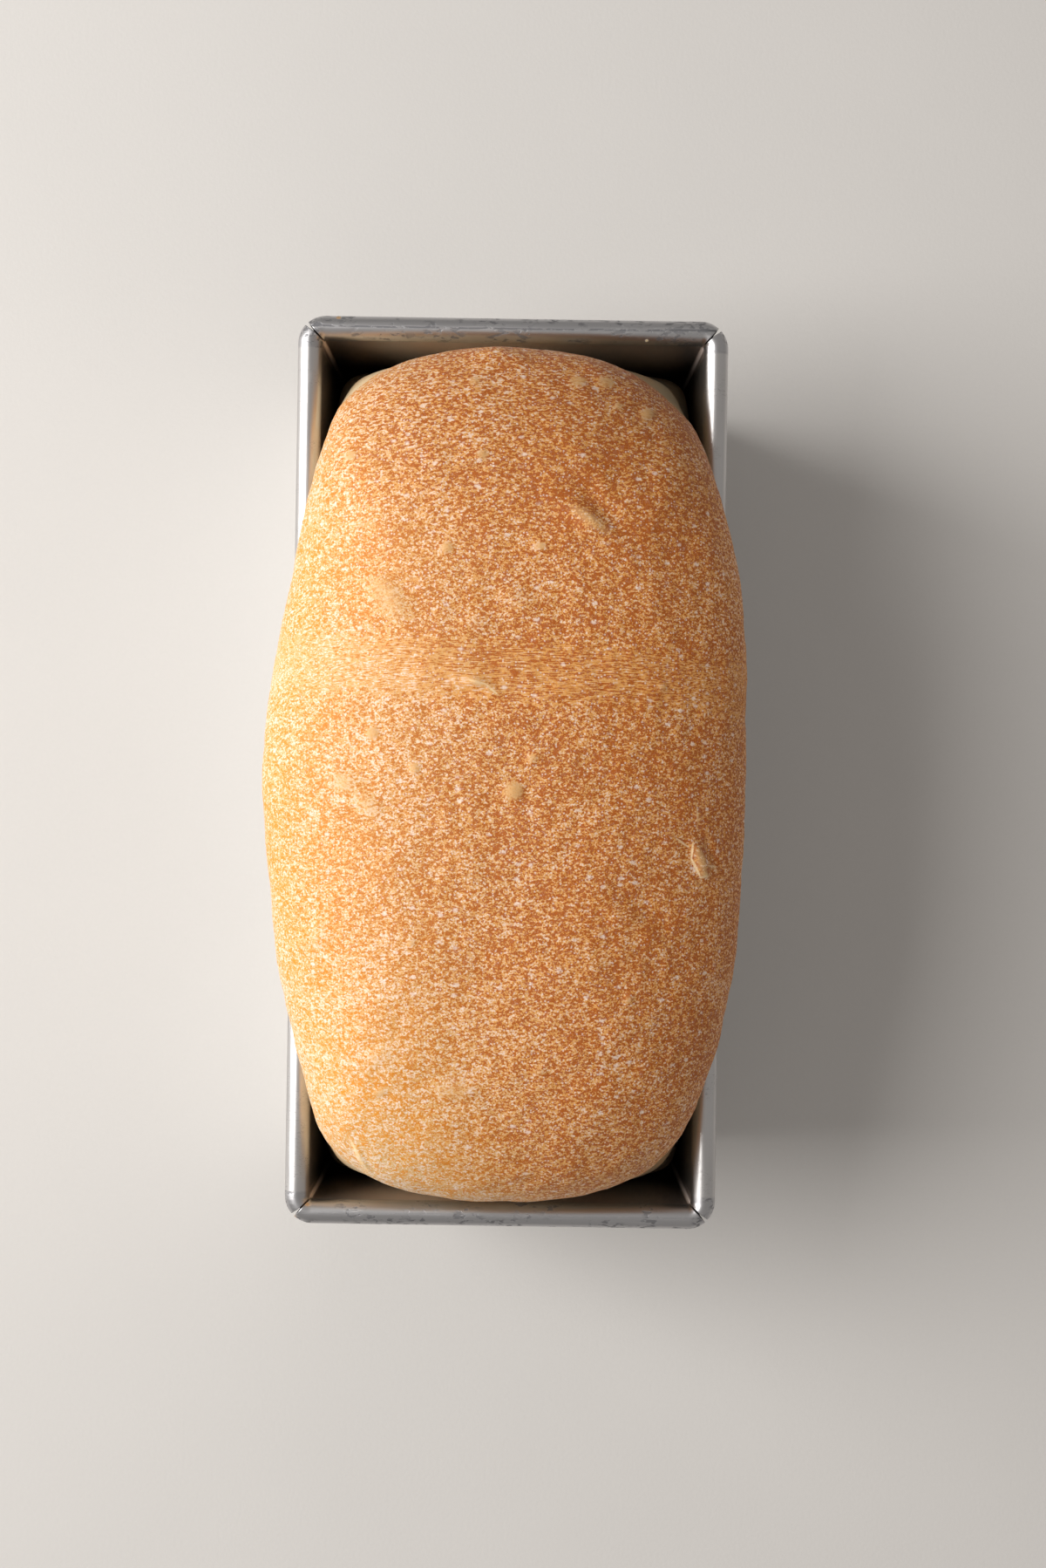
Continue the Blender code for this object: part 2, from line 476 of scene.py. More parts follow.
WIDEST_SCALE = 0.0112  # gap to the wall that lowers it by a factor of e
WALL_GAP = 0.0006  # between the loaf and the tin's walls
REST_GAP = 0.0003  # between the loaf and the tin's base
LIP_GAP = 0.0004  # between the overhang and the rim
LIP_POWER = 2.6  # fullness of the bulge that hangs over the rim
SHOULDER_DEPTH = 0.0450  # how far below the rim the loaf meets the wall in a wide gap
SHOULDER_SCALE = 0.0050  # gap at which it has gone most of the way down
LEDGE = 0.50  # share of a corner's gap that the loaf spreads over just below its widest line
LEDGE_POWER = 5  # how quickly the ledge spreads
SHOULDER_POWER = 3.5  # steepness of the shoulder below the ledge
END_BLOCK = 0.0530  # length of each end whose corners are rounded
END_POWER = 14  # squareness of those corners
LOAF_FOOT_RADIUS = 0.0060

DOME_ROWS = 42
LIP_ROWS = 14
LIP_CROWDING = 1.3  # above 1, the rows of the lip stand closer at its top
WALL_ROWS = 4
FOOT_ROWS = 3


class LoafShape:
    """Points on the smooth loaf, for an angle round it and a turn or a share down it."""

    def __init__(self, loaf, tin):
        self.loaf = loaf
        self.tin = tin
        self.rim = tin.height
        self.crest = tin.height + loaf.rise
        self.foot = tin.sheet + REST_GAP

    def dome_outline(self, angle):
        """The dome's widest line seen from above."""
        along = math.sin(angle)
        reach = (1 - DOME_TAPER * along**2) * math.sqrt(max(0.0, 1 - along**DOME_SQUARENESS))
        side = math.copysign(1, math.cos(angle))
        width = self.loaf.half_width
        for uneven_side, place, span, depth in UNEVEN_SIDES:
            if uneven_side == side:
                width -= depth * hill(along - place, span)
        x = side * width * reach + SWAY * math.cos(math.tau * (along - SWAY_PEAK))
        return Vector((x, self.loaf.half_length * along)) + DOME_SHIFT

    def body_outline(self, dome, z, inset=0.0):
        """Where the loaf meets the wall outwards of a point of the dome, and the gap between the two."""
        lean = self.tin.lean * (1 - z / self.rim)
        half_width = self.tin.mouth_width / 2 - lean - WALL_GAP - inset
        half_length = self.tin.mouth_length / 2 - lean - WALL_GAP - inset
        straight = half_length - END_BLOCK
        past = max(0.0, abs(dome.y) - straight)
        across = abs(dome.x) / half_width
        onward = past / END_BLOCK
        stretch = (across**END_POWER + onward**END_POWER) ** (-1 / END_POWER)
        y = min(abs(dome.y), straight) + past * stretch
        gap = (stretch - 1) * math.hypot(dome.x, past)
        return Vector((dome.x * stretch, math.copysign(y, dome.y))), gap

    def widest_height(self, gap):
        """How high the loaf is at its widest, for its gap to the wall."""
        return self.rim + WIDEST_AT_WALL * math.exp(-gap / WIDEST_SCALE)

    def meeting_height(self, gap):
        """How high the loaf meets the wall."""
        drop = SHOULDER_DEPTH * (1 - math.exp(-max(gap, 0.0) / SHOULDER_SCALE))
        return self.rim + LIP_GAP - drop

    def dome_point(self, angle, turn):
        edge = self.dome_outline(angle)
        widest = self.widest_height(self.body_outline(edge, self.rim)[1])
        power = CROSS_POWER + (LENGTH_POWER - CROSS_POWER) * math.sin(angle) ** 2
        across, up = rounded(turn, power)
        place = edge * across
        z = widest + (self.crest - widest) * up + SWELL * up * swell(place.x, place.y)
        return Vector((place.x, place.y, z))

    def lip_point(self, angle, share):
        """Under the bulge that hangs over the rim, or down the sloping shoulder in a corner."""
        edge = self.dome_outline(angle)
        gap = self.body_outline(edge, self.rim)[1]
        top, foot = self.widest_height(gap), self.meeting_height(gap)
        wall = self.body_outline(edge, foot)[0]
        fall, out = rounded(share * QUARTER, LIP_POWER)
        sloping = smooth_step(-0.0015, 0.0015, gap)
        spread = LEDGE * (1 - (1 - share) ** LEDGE_POWER) + (1 - LEDGE) * share**SHOULDER_POWER
        out += sloping * (1 - spread - out)
        fall += sloping * (share - fall)
        place = wall + (edge - wall) * out
        return Vector((place.x, place.y, top + (foot - top) * fall))

    def wall_point(self, angle, share):
        edge = self.dome_outline(angle)
        top = self.meeting_height(self.body_outline(edge, self.rim)[1])
        foot = self.foot + LOAF_FOOT_RADIUS
        z = top + (foot - top) * share
        place = self.body_outline(edge, z)[0]
        return Vector((place.x, place.y, z))

    def foot_point(self, angle, share):
        turn = share * QUARTER
        z = self.foot + LOAF_FOOT_RADIUS * (1 - math.sin(turn))
        inset = LOAF_FOOT_RADIUS * (1 - math.cos(turn))
        place = self.body_outline(self.dome_outline(angle), z, inset)[0]
        return Vector((place.x, place.y, z))


def rounded(turn, power):
    """A quarter of a superellipse: across and up, for turn from 0 at the top to a right angle."""
    across, up = math.sin(turn), max(0.0, math.cos(turn))
    size = (across**power + up**power) ** (1 / power)
    return across / size, up / size


def swell(x, y):
    """Slow unevenness of the crust, from -1 to 1."""
    return sum(math.sin(x * a + y * b + shift) for a, b, shift in SWELL_WAVES) / len(SWELL_WAVES)


# Raised places of the crust, in millimetres: x, y, half length, half width, heading in degrees,
# height, and how far the speckles leave it, from 0 to 1.
ROUND_BLISTERS = (
    (2.1, -4.7, 2.3, 2.2, 0, 0.68, 1.0),
    (-32.3, 8.8, 1.6, 1.5, 0, 0.60, 0.9),
    (-21.9, 0.4, 1.2, 1.4, 0, 0.52, 0.8),
    (-39.5, 77.6, 1.5, 1.3, 0, 0.60, 0.8),
    (-6.8, 77.0, 1.6, 1.3, 10, 0.60, 0.7),
    (-14.9, 54.0, 1.6, 1.4, 0, 0.60, 0.9),
    (7.7, 54.6, 1.3, 1.1, 0, 0.45, 0.8),
    (33.9, 89.6, 1.9, 1.6, 20, 0.60, 0.9),
    (26.5, 91.2, 1.1, 1.0, 0, 0.38, 0.8),
    (-9.2, 96.5, 1.5, 1.2, 0, 0.45, 0.7),
    (16.6, 97.4, 2.3, 1.5, 0, 0.30, 0.8),
    (23.6, 97.5, 2.2, 1.5, 0, 0.30, 0.8),
    (6.6, 3.2, 1.5, 1.1, 15, 0.38, 0.6),
    (-29.7, -79.4, 1.8, 1.2, 30, 0.38, 0.6),
    (9.7, -72.9, 1.2, 1.1, 0, 0.45, 0.5),
    (31.0, -55.0, 1.2, 1.1, 0, 0.38, 0.5),
    (-22.0, -42.0, 1.1, 1.0, 0, 0.38, 0.6),
    (38.0, 21.0, 1.2, 0.9, 0, 0.38, 0.5),
)
SMOOTH_PATCHES = (
    (-7.4, 35.7, 3.2, 2.6, 0, 0.47, 0.30),
    (-29.2, 42.0, 7.0, 4.2, -50, 1.30, 0.58),
    (-39.0, -3.4, 4.0, 2.6, -45, 0.57, 0.50),
    (-33.4, -8.4, 4.2, 2.2, -40, 0.57, 0.50),
    (-7.8, 21.6, 3.2, 1.3, -12, 1.04, 0.60),
    (3.1, 41.8, 5.0, 3.0, -20, 0.47, 0.22),
    (-11.3, -77.9, 5.5, 3.0, -5, 0.66, 0.40),
    (-30.0, -70.0, 4.0, 2.4, 35, 0.47, 0.30),
    (-36.0, 60.0, 4.2, 2.2, 20, 0.38, 0.25),
    (12.0, -60.0, 3.4, 1.8, -30, 0.38, 0.20),
    (-45.0, -40.0, 5.0, 2.6, 60, 0.47, 0.25),
    (5.0, -100.0, 4.0, 1.6, 0, 0.38, 0.20),
)
FOLDS = (
    (19.6, 61.2, 7.5, 3.0, -35, 1.20, 0.25),
    (22.4, 65.4, 7.5, 2.8, -46, -0.80, 0.0),
    (31.4, -36.6, 8.0, 2.2, -35, 0.40, 0.15),
    (34.6, -32.6, 8.0, 2.6, -35, -0.35, 0.0),
    (-12.0, 24.0, 12.0, 1.2, 6, 0.18, 0.0),
    (-20.0, 17.8, 14.0, 1.0, 8, -0.18, 0.0),
    (-4.1, 104.6, 7.0, 3.2, -4, 1.40, 0.0),
    (22.0, 101.0, 7.0, 3.0, -14, 0.40, 0.0),
    (-4.0, 19.7, 1.6, 0.6, -38, 0.45, 0.6),
)
# Torn skin: the flake on the right with the lifted skin round it, the ridge's lit back, whose pale
# streak is a painted highlight, the short tears beside the drawn band, and the sliver at the near left
# between its two furrows. The last number is how far the pale inside of the skin shows, and on the ridge
# how bright its painted highlight is.
TEARS = (
    (48.0, -21.0, 4.3, 1.60, -72, 1.20, 0.62),
    (49.3, -24.6, 1.5, 0.90, -20, 0.20, 0.80),
    (51.3, -22.9, 1.9, 0.80, -14, 0.45, 0.55),
    (51.2, -19.0, 3.2, 1.10, -69, -0.80, 0.0),
    # the ridge's lit back: its pale streak is a painted highlight
    (19.4, 61.5, 7.2, 2.00, -35, 0.10, 0.55),
    (-6.9, 21.2, 2.4, 0.60, -18, 0.35, 0.70),
    (-3.2, 19.4, 1.9, 0.55, -40, 0.35, 0.60),
    (47.5, -10.0, 2.2, 0.60, -84, 0.25, 0.45),
    (47.3, -26.6, 1.2, 0.45, -60, 0.20, 0.60),
    (-35.2, -97.4, 5.0, 0.80, -66, 0.50, 0.80),
    (-36.6, -98.0, 5.0, 0.70, -66, -0.30, 0.0),
    (-33.8, -96.8, 5.0, 0.70, -66, -0.30, 0.0),
)
# Bright edges of torn skin, too thin for the mesh and drawn by the finish; partly the pale torn edge
# itself and partly a painted highlight where an edge faces the window light: x, y, half length, half
# width and heading, as above, and strength.
BRIGHT_EDGES = (
    (46.2, -18.7, 2.4, 0.30, 84, 0.95),
    (47.2, -22.9, 2.9, 0.34, -62, 1.0),
    (49.3, -25.2, 1.5, 0.30, 8, 0.70),
    (51.6, -22.6, 1.5, 0.26, -10, 0.60),
    (43.7, -16.8, 2.2, 0.26, -35, 0.80),
    (47.4, -9.8, 2.4, 0.24, -84, 0.45),
    (-35.2, -97.4, 6.4, 0.32, -66, 0.70),
    (-6.9, 21.4, 2.6, 0.30, -14, 0.55),
    (-3.4, 19.6, 2.0, 0.28, -40, 0.75),
)

DAB_REACH = 3.5  # a raised place isn't felt further off than this many of its half lengths
DAB_END = 6.0  # nor where its squared distance passes this
# How steeply each kind of raised place falls off at its outline.
DAB_KINDS = ((ROUND_BLISTERS, 2.0), (SMOOTH_PATCHES, 1.2), (FOLDS, 1.0), (TEARS, 1.6))

# The skin's unevenness: repeats per metre, height in millimetres, and where in the noise it is taken.
LUMPS = (
    (70.0, 0.38, Vector((0.0, 0.0, 0.0))),
    (190.0, 0.22, Vector((3.1, 5.2, 1.7))),
    (480.0, 0.10, Vector((8.3, 2.9, 6.1))),
)


def dab_strength(dab, x, y, sharpness):
    """How strongly a raised place is felt at x, y in millimetres, from 0 to 1."""
    centre_x, centre_y, half_length, half_width, heading = dab[:5]
    turn = math.radians(heading)
    right, up = x - centre_x, y - centre_y
    along = (right * math.cos(turn) + up * math.sin(turn)) / half_length
    across = (up * math.cos(turn) - right * math.sin(turn)) / half_width
    away = along * along + across * across
    return math.exp(-(away**sharpness)) if away < DAB_END else 0.0


def relief(x, y):
    """The crust's raised places at x, y in millimetres.

    Gives their height in metres, how far the speckles leave them, and how torn they are.
    """
    height = 0.0
    bare = 0.0
    torn = 0.0
    for dabs, sharpness in DAB_KINDS:
        for dab in dabs:
            if abs(x - dab[0]) + abs(y - dab[1]) < DAB_REACH * dab[2]:
                strength = dab_strength(dab, x, y, sharpness)
                height += strength * dab[5]
                if dabs is TEARS:
                    torn = max(torn, strength * dab[6])
                else:
                    bare = max(bare, strength * dab[6])
    return height * MM, bare, torn


def lumps(place):
    """Small unevenness of the skin, in metres."""
    return sum(noise.noise(place * scale + shift) * height for scale, height, shift in LUMPS) * MM


def loaf_rows(shape):
    """Each row below the cap: the function that places it, and its share of skirt from 0 to 1."""
    for row in range(1, DOME_ROWS + 1):
        share = row / DOME_ROWS
        yield lambda angle, turn, s=share: shape.dome_point(angle, turn + (QUARTER - turn) * s), 0.0
    for row in range(1, LIP_ROWS + 1):
        share = (row / LIP_ROWS) ** LIP_CROWDING
        yield lambda angle, turn, s=share: shape.lip_point(angle, s), share
    for row in range(1, WALL_ROWS + 1):
        yield lambda angle, turn, s=row / WALL_ROWS: shape.wall_point(angle, s), 1.0
    for row in range(1, FOOT_ROWS + 1):
        yield lambda angle, turn, s=row / FOOT_ROWS: shape.foot_point(angle, s), 1.0


def grid_direction(vertex):
    """The angle round the loaf and the turn down from its crest of a vertex of the square cap."""
    across = math.tan(vertex.co.x * math.pi / 4)
    along = math.tan(vertex.co.y * math.pi / 4)
    return math.atan2(along, across), math.atan(math.hypot(across, along))


def raise_crust(bm, shape, skirt_of):
    """Pushes the crust out or in along its normals, and not at all where it lies against the tin.

    The raised places fade where the crust turns to the side, and are stored for the finish.
    """
    bare_of = bm.verts.layers.float["bare"]
    torn_of = bm.verts.layers.float["torn"]
    bm.normal_update()
    for vertex in bm.verts:
        place = vertex.co
        skirt = vertex[skirt_of]
        clear = smooth_step(-0.002, 0.004, place.z - shape.rim) if skirt < 0.5 else 0.0
        if clear == 0.0 and skirt > 0.0:
            clear = 0.25 * (1 - skirt)
        facing_up = smooth_step(0.02, 0.40, vertex.normal.z)
        height, bare, torn = (part * facing_up for part in relief(place.x / MM, place.y / MM))
        vertex[bare_of] = bare
        vertex[torn_of] = torn
        vertex.co = place + vertex.normal * (clear * (height + lumps(place)))


def loaf_bmesh(settings, tin):
    """A square cap over the crest, whose border is extruded down to the foot row by row."""
    shape = LoafShape(settings, tin)
    bm = bmesh.new()
    bmesh.ops.create_grid(
        bm, x_segments=settings.cross_cuts, y_segments=settings.length_cuts, size=1.0
    )
    angle_of = bm.verts.layers.float.new("angle")
    turn_of = bm.verts.layers.float.new("turn")
    skirt_of = bm.verts.layers.float.new("skirt")
    bm.verts.layers.float.new("bare")
    bm.verts.layers.float.new("torn")
    for vertex in bm.verts:
        vertex[angle_of], vertex[turn_of] = grid_direction(vertex)
    border = [edge for edge in bm.edges if edge.is_boundary]
    for vertex in bm.verts:
        vertex.co = shape.dome_point(vertex[angle_of], vertex[turn_of])
    for place, skirt in loaf_rows(shape):

        def settle(vertex):
            vertex.co = place(vertex[angle_of], vertex[turn_of])
            vertex[skirt_of] = skirt

        border = grow_row(bm, border, settle)
    bmesh.ops.holes_fill(bm, edges=border, sides=0)
    bmesh.ops.recalc_face_normals(bm, faces=bm.faces)
    raise_crust(bm, shape, skirt_of)
    for name in ("angle", "turn"):
        bm.verts.layers.float.remove(bm.verts.layers.float[name])
    return bm


# Scales of the crust's patterns, in repeats per metre.
ROUND_SPECKS = 2250.0
DRAWN_SPECKS = 2400.0
HAIR_LINES = 3600.0
GRAINS = 1850.0
CLUMPS = 850.0
PATCHES = 85.0
BROAD_PATCHES = 26.0
CURLS = 1500.0
FLECKS = 430.0
DUST = 1300.0
WRINKLES = 330.0
UNEVEN_SKIN = 210.0

BAND_PLACE = 0.0245  # how far along the loaf the drawn band crosses it
BAND_SLOPE = 0.04
BAND_EDGE = (0.004, 0.010)  # where it starts and ends to fade, to either side
DEEP_SHOULDER = (0.78, 0.67, 0.46)  # colour of the shoulder well below the rim


class CrustPattern:
    """Where a point of the crust is, and what varies over it from 0 to about 1.

    The colours and the bumps share these.
    """

    def __init__(self, crust, tin):
        self.x, self.y, self.z = x, y, z = crust.axes()
        self.skirt = crust.attribute("skirt")
        self.bare = crust.attribute("bare")
        self.torn = crust.attribute("torn")

        self.band = 1 - abs(y - BAND_PLACE + x * BAND_SLOPE).rise(*BAND_EDGE)
        far_end = y.rise(0.045, 0.095)
        near_end = (0 - y).rise(0.080, 0.105)
        self.drawn = (far_end * 0.80 + near_end * 0.30).at_most(1.0)

        round_specks = crust.noise(ROUND_SPECKS, 2.0, 0.55, 0.4, crust.stretched(0.85, 1.0, 0.65))
        drawn_specks = crust.noise(DRAWN_SPECKS, 2.0, 0.55, 0.4, crust.stretched(0.36, 0.9, 0.45))
        lines = crust.noise(HAIR_LINES, 2.0, 0.55, 0.2, crust.stretched(0.09, 1.0, 0.5))
        specks = round_specks + (drawn_specks - round_specks) * self.drawn
        self.specks = specks + (lines - specks) * self.band * 0.85
        self.grain = crust.cells(GRAINS, crust.stretched(0.70, 1.0, 0.55))[1]
        self.clumps = crust.noise(CLUMPS, 2.0, 0.5, 0.5)
        self.patches = crust.noise(PATCHES, 3.0, 0.55, 0.5)

        self.far_brown = y.rise(0.050, 0.102)
        higher = z.rise(tin.height, tin.height + 0.046) * 0.5
        browner = higher + x.rise(-0.062, 0.030) * 0.5
        paler = (0 - y).rise(0.03, 0.10) * (1 - x.rise(-0.030, 0.020)) * 0.22
        browner = browner + self.far_brown * 0.35 + x.rise(0.020, 0.055) * 0.25 - paler
        self.browner = browner.at_most(1.1)

        curls = crust.noise(CURLS, 1.0, 0.5, 0.9)
        self.web = 1 - abs(curls - 0.5).rise(0.004, 0.026)


def freckled_colour(crust, over, settings):
    """Toasted freckles on the golden skin, and paler skin where it is the least toasted."""
    broad = crust.noise(BROAD_PATCHES, 2.0, 0.5)
    toast = over.specks + (over.specks - 0.5) * over.drawn * 0.45
    toast = toast + (over.grain - 0.5) * 0.31 * (1 - over.band * 0.6)
    toast = toast + (over.clumps - 0.5) * 0.14 + (over.patches - 0.5) * 0.18 + (broad - 0.5) * 0.18
    toast = toast + (over.browner - 0.62) * 0.13 - over.bare * 0.22 - over.band * 0.03
    dark = toast.rise(0.485, 0.570)
    light = 1 - toast.rise(0.30, 0.42)

    fairness = (1 - over.browner) * 1.1 + (over.patches - 0.5) * 0.9
    base = crust.blend(settings.golden, settings.blond, fairness)
    speckles = crust.blend(settings.amber, settings.toasted, over.browner.rise(0.25, 0.95))
    colour = crust.blend(base, speckles, dark * 0.92)
    return crust.blend(colour, settings.floury, light * 0.66 * (1 - over.bare))


def floury_colour(crust, over, settings, colour):
    """A colour with a thin web of floury curls, scattered flecks and fine dust on it."""
    colour = crust.blend(colour, settings.floury, over.web * 0.28 * (1 - over.bare * 0.8))
    distance, chance = crust.cells(FLECKS, crust.stretched(0.65, 1.0, 0.8))
    ragged = distance + (over.specks - 0.5) * 0.4
    fleck = (1 - ragged.rise(0.10, 0.30)) * chance.rise(0.70, 0.80)
    distance, chance = crust.cells(DUST)
    dust = (1 - distance.rise(0.15, 0.42)) * chance.rise(0.62, 0.72)
    flecks = (fleck * 0.72 + dust * 0.72).at_most(1.0) * (1 - over.bare * 0.7)
    return crust.blend(colour, settings.floury, flecks)


def edge_strength(over, mark):
    """The strength of one of the bright edges, which fades smoothly at its outline."""
    centre_x, centre_y, half_length, half_width, heading, strength = mark
    turn = math.radians(heading)
    right, up = over.x - centre_x * MM, over.y - centre_y * MM
    along = (right * math.cos(turn) + up * math.sin(turn)) * (1 / (half_length * MM))
    across = (up * math.cos(turn) - right * math.sin(turn)) * (1 / (half_width * MM))
    return (1 - (along * along + across * across).rise(0.3, 1.6)) * strength


def bared_colour(crust, over, settings, tin, colour):
    """A colour with the smooth blisters, the pale inside of torn skin and its bright edges on it; the
    ridge's pale streak and part of the bright edges are painted highlights.
    """
    blister = crust.blend(settings.blister, settings.golden, (over.specks - 0.42) * 2.0)
    colour = crust.blend(colour, blister, over.bare.rise(0.10, 0.75) * 0.66)
    grainy = 0.70 + (over.grain - 0.5) * 0.6
    colour = crust.blend(colour, settings.torn, over.torn.rise(0.15, 1.0) * grainy)
    # bright edges: partly pale torn skin, partly painted highlight on the lit side
    edges = 0.0
    for mark in BRIGHT_EDGES:
        edges = edge_strength(over, mark) + edges
    on_dome = over.z.rise(tin.height + 0.006, tin.height + 0.012)
    edges = edges.at_most(1.0) * (0.60 + over.grain * 0.40)
    return crust.blend(colour, settings.torn_edge_and_highlight, edges * on_dome)


def shoulder_colour(crust, over, settings, tin):
    """The soft pale skin below the golden edge, and where it shows. It is darkened towards the right as
    painted shade.
    """
    edge = (over.skirt + (over.specks - 0.5) * 0.05).rise(0.02, 0.07)
    inside = (0 - over.z).rise(-tin.height - 0.0045, -tin.height - 0.0005)
    deep = (0 - over.z).rise(-tin.height + 0.004, -tin.height + 0.020)
    colour = crust.blend(settings.shoulder, DEEP_SHOULDER, deep)
    # painted shade: the shoulder darker towards the right, away from the window light
    colour = crust.times(colour, 1 - over.x.rise(0.0, 0.03) * 0.50)
    colour = crust.blend(colour, settings.golden, (over.patches - 0.35).rise(0.0, 0.4) * 0.35)
    return colour, (edge * inside).at_most(1.0)


def crust_finish(settings, tin):
    """Golden crust freckled with toasted and floury specks, with a soft pale shoulder below."""
    crust = Finish("golden_crust")
    over = CrustPattern(crust, tin)

    colour = freckled_colour(crust, over, settings)
    colour = floury_colour(crust, over, settings, colour)
    colour = bared_colour(crust, over, settings, tin, colour)
    middle = over.x.rise(-0.045, -0.012) * (1 - over.x.rise(0.030, 0.054))
    darker_end = over.far_brown * (0.12 + 0.12 * over.x.rise(-0.020, 0.045))
    colour = crust.times(colour, 1 - middle * 0.08 - darker_end)
    shoulder, pale = shoulder_colour(crust, over, settings, tin)
    colour = crust.blend(colour, shoulder, pale)

    pits = over.specks * 0.6 + over.clumps * 0.4
    wrinkle = crust.noise(WRINKLES, 3.0, 0.55, 0.2, crust.stretched(0.22, 1.0, 0.7))
    uneven = crust.noise(UNEVEN_SKIN, 3.0, 0.6)
    skin = crust.bump(uneven + wrinkle * (over.drawn + over.band) * 0.5, 0.00050, 0.55)
    skin = crust.bump(pits * (1 - over.bare * 0.8) + over.web * 0.25, 0.00016, 0.80, skin)
    crust.set(
        Base_Color=colour,
        Roughness=0.52 + over.specks * 0.16 + pale * 0.10,
        Normal=skin,
        Specular_IOR_Level=0.32,
    )
    return crust.material


# ---- the tin ----

INNER_CORNER = 0.0012  # radius inside, where two walls meet
INNER_FOOT = 0.0006  # radius inside, where the walls meet the base
BEAD_PROUD = 0.0002  # how far the roll stands into the mouth
CORNER_CUTS = 64
SIDE_CUTS = 12
INSIDE_LEVELS = (0.030, 0.060, 0.080, 0.090)  # heights of the wall's rows
OUTSIDE_LEVELS = (0.088, 0.060, 0.030)
BEAD_STEPS = 40
BEAD_START = math.radians(196)  # round the roll, from its outside over the top
BEAD_END = math.radians(-150)
FOLD_STEPS = 4

# Scales of the tin's patterns, in repeats per metre: plain ones, and those that differ by axis.
CLOUDS = 38.0
DOTS = 900.0
WORN_PATCHES = 120.0
CRUMBS = 170.0
GRAIN_ALONG_Y = (1900.0, 42.0, 900.0)
GRAIN_ALONG_X = (42.0, 1900.0, 900.0)
BREAKS = (260.0, 900.0, 60.0)
HAIRS = (500.0, 1500.0, 500.0)

DULL_METAL = (0.47, 0.45, 0.43)
# painted reflection: darker grey for the rolls, most on the end rolls, standing in for the dim room
# reflected there
PAINTED_ROLL_REFLECTION = (0.40, 0.40, 0.42)
BRIGHT_GRAIN = (0.74, 0.73, 0.72)
# dark baked-on residue in the seams and inner corners; in the mitre grooves it is also painted shade
# standing in for the open slit
SEAM_STAIN_AND_SLIT_SHADE = (0.030, 0.019, 0.012)
# painted shade: darker tint for the inner side walls, dimming their reflections
PAINTED_SIDE_WALL_SHADE = (0.26, 0.21, 0.16)
# painted light: lighter tan tint for the inner end walls
PAINTED_END_WALL_LIGHT = (0.90, 0.78, 0.72)
# painted shade: near-black brown for the inner walls deep down, where only shade falls between loaf and
# tin
PAINTED_DEPTH_SHADE = (0.050, 0.033, 0.022)
BAKED_DROP = (0.42, 0.24, 0.09)
PALE_CRUMB = (0.62, 0.50, 0.30)

RESIDUE = (  # baked-on drops along the rim: place and radius
    (Vector((-0.0515, -0.1150, 0.1005)), 0.0012),
    (Vector((-0.0542, -0.1180, 0.0995)), 0.0009),
    (Vector((-0.0460, 0.1190, 0.1000)), 0.0008),
    (Vector((-0.0430, 0.1192, 0.1002)), 0.0007),
)


def tin_profile(tin):
    """The sheet's section: how far out of the mouth line, how high, and the turn round the roll.

    The turn is None off the roll.
    """
    floor = tin.sheet
    for step in range(1, FOLD_STEPS + 1):
        turn = step / FOLD_STEPS * QUARTER
        yield -INNER_FOOT * (1 - math.sin(turn)), floor + INNER_FOOT * (1 - math.cos(turn)), None
    middle_out = tin.bead_radius - BEAD_PROUD
    middle_up = tin.height - tin.bead_radius
    for z in (*INSIDE_LEVELS, middle_up - 0.0016):
        yield 0.0, z, None
    for step in range(BEAD_STEPS + 1):
        turn = BEAD_START + (BEAD_END - BEAD_START) * step / BEAD_STEPS
        out = middle_out + tin.bead_radius * math.cos(turn)
        yield out, middle_up + tin.bead_radius * math.sin(turn), turn
    radius = INNER_FOOT + tin.sheet
    for z in (middle_up - 0.0030, *OUTSIDE_LEVELS, radius):
        yield tin.sheet, z, None
    for step in range(1, FOLD_STEPS + 1):
        turn = step / FOLD_STEPS * QUARTER
        yield tin.sheet - radius * (1 - math.cos(turn)), radius * (1 - math.sin(turn)), None


def mitre_groove(tin, out, from_mitre, turn):
    """How far a point of the roll draws in towards the roll's middle, where the two rolls meet."""
    reach = INNER_CORNER + max(0.0, out)
    away = abs(from_mitre) * reach
    widening = smooth_step(0.45, 1.0, out / (2 * tin.bead_radius))
    half = 0.00018 + 0.00026 * widening
    lip = 1 - smooth_step(half * 0.45, half * 1.25, away)
    return lip * (0.82 - 0.10 * math.sin(turn))


